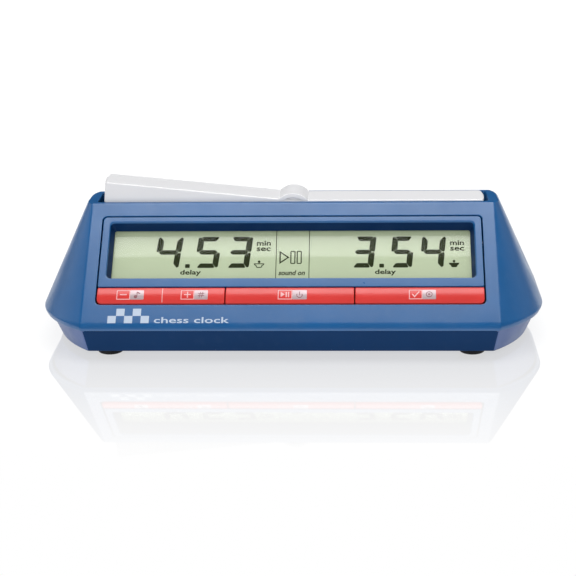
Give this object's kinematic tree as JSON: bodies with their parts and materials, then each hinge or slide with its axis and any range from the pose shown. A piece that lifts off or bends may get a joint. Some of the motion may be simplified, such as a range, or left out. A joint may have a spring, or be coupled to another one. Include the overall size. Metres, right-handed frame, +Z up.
{
  "type": "chess clock",
  "caption": "Digital chess clock: wedge-shaped case with a recessed display, key caps below it, a rocking lever across the top and rubber feet.",
  "frame": {"origin": "on the table under the middle of the case", "axes": "+X along the case's length, display and keys face -Y, +Z up"},
  "size_m": [0.225, 0.12, 0.0673],
  "materials": {
    "case_blue": "satin moulded",
    "case_navy": "fine spark texture",
    "panel_blue": "satin moulded",
    "window_clear": "clear gloss",
    "lcd": "reflective display",
    "black_plastic": "fine matt",
    "zebra_rubber": "matt",
    "board_green": "solder mask",
    "chip_black": "moulded epoxy",
    "bright_steel": "bright plated",
    "switch_black": "moulded",
    "cell_wrap": "shrink sleeve",
    "contact_metal": "nickel plated",
    "wire_red": "PVC insulation",
    "wire_black": "PVC insulation",
    "foot_rubber": "matt",
    "lever_white": "satin moulded",
    "magnet_metal": "nickel plated",
    "key_red": "satin translucent",
    "button_red": "satin moulded"
  },
  "bodies": {
    "root": {"upper_shell": "case_blue", "base_shell": "case_navy", "bezel_panel": "panel_blue", "display_window": "window_clear", "lcd_glass": "lcd", "lcd_frame": "black_plastic", "zebra_strips": "zebra_rubber", "main_board": "board_green", "controller_chip": "chip_black", "quartz_crystal": "bright_steel", "tact_switches": "switch_black", "board_screws": "bright_steel", "case_screws": "bright_steel", "buzzer": "chip_black", "lever_pivot_pin": "bright_steel", "lever_sensors": "board_green", "power_board": "board_green", "power_switch": "switch_black", "battery_cell_front": "cell_wrap", "battery_cell_rear": "cell_wrap", "battery_springs": "contact_metal", "battery_plates": "contact_metal", "battery_wire_red": "wire_red", "battery_wire_black": "wire_black", "switched_wire": "wire_red", "foot_front_left": "foot_rubber", "foot_front_right": "foot_rubber", "foot_rear_left": "foot_rubber", "foot_rear_right": "foot_rubber"},
    "lever": {"rocker_lever": "lever_white", "lever_magnets": "magnet_metal"},
    "rocking_key": {"key_minus_plus": "key_red"},
    "start_key": {"key_start_pause": "key_red"},
    "confirm_key": {"key_confirm": "key_red"},
    "power_key": {"power_button": "button_red"},
    "door": {"battery_door": "case_navy"}
  },
  "joints": [
    {"name": "lever_rock", "type": "hinge", "parent": "root", "child": "lever", "pos_m": [0, 0, 0.0475], "axis": [0, -1, 0], "range_deg": [0, 5.8]},
    {"name": "minus_plus_rock", "type": "hinge", "parent": "root", "child": "rocking_key", "pos_m": [-0.05643, -0.04425, 0.02172], "axis": [0, 0.741, 0.6715], "range_deg": [-1.2, 1.2], "stiffness_Nm_per_rad": 0.5},
    {"name": "start_press", "type": "slide", "parent": "root", "child": "start_key", "axis": [0, 0.6715, -0.741], "range_m": [0, 0.0006], "stiffness_N_per_m": 600, "springref_m": -0.0005},
    {"name": "confirm_press", "type": "slide", "parent": "root", "child": "confirm_key", "axis": [0, 0.6715, -0.741], "range_m": [0, 0.0006], "stiffness_N_per_m": 600, "springref_m": -0.0005},
    {"name": "power_press", "type": "slide", "parent": "root", "child": "power_key", "axis": [0, 0, 1], "range_m": [0, 0.0012], "stiffness_N_per_m": 400},
    {"name": "battery_door_swing", "type": "hinge", "parent": "root", "child": "door", "pos_m": [0, 0.0105, 0.00295], "axis": [-1, 0, 0], "range_deg": [0, 60]}
  ]
}
